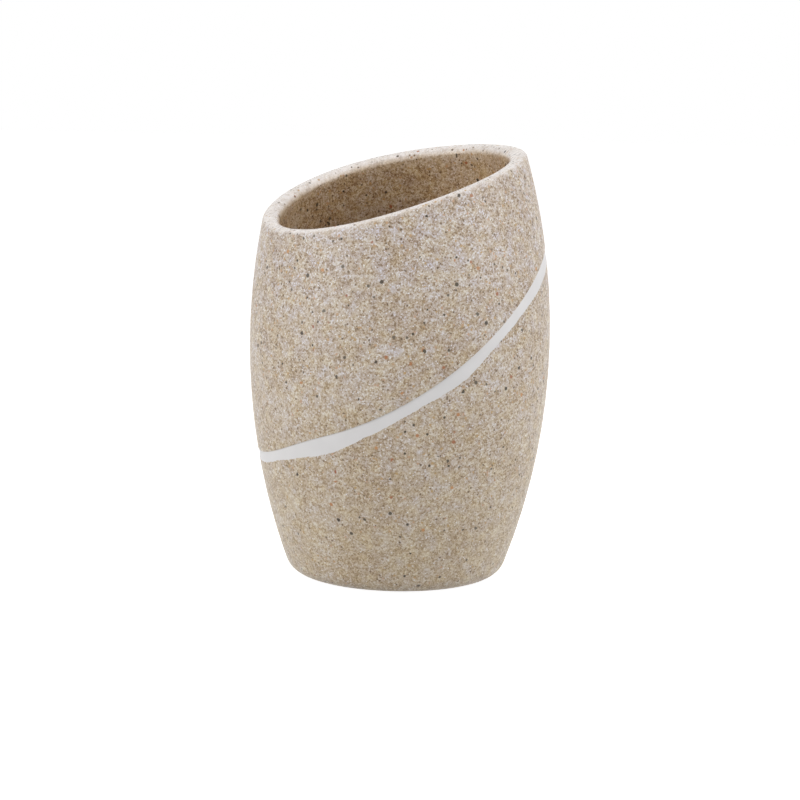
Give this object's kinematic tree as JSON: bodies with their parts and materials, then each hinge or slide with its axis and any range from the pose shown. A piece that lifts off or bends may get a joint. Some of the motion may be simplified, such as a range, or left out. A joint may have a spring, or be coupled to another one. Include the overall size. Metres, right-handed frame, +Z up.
{
  "type": "bathroom tumbler",
  "caption": "Barrel-shaped bathroom tumbler cast in sand and resin, with a slanting mouth, a white line climbing round the outside and a non-slip pad under the base.",
  "frame": {"origin": "middle of the base, on the surface that the tumbler stands on", "axes": "+Z up along the barrel's axis, -Y towards the viewer of the picture, the mouth and the band climb towards +X"},
  "size_m": [0.083, 0.083, 0.1194],
  "materials": {
    "sand_resin": "matt, fine sand grains bound in clear resin",
    "white_resin": "smooth, matt white resin",
    "pad_foam": "fine closed-cell foam, matt"
  },
  "bodies": {
    "root": {"sand_body": "sand_resin", "white_band": "white_resin", "base_pad": "pad_foam"}
  },
  "joints": []
}
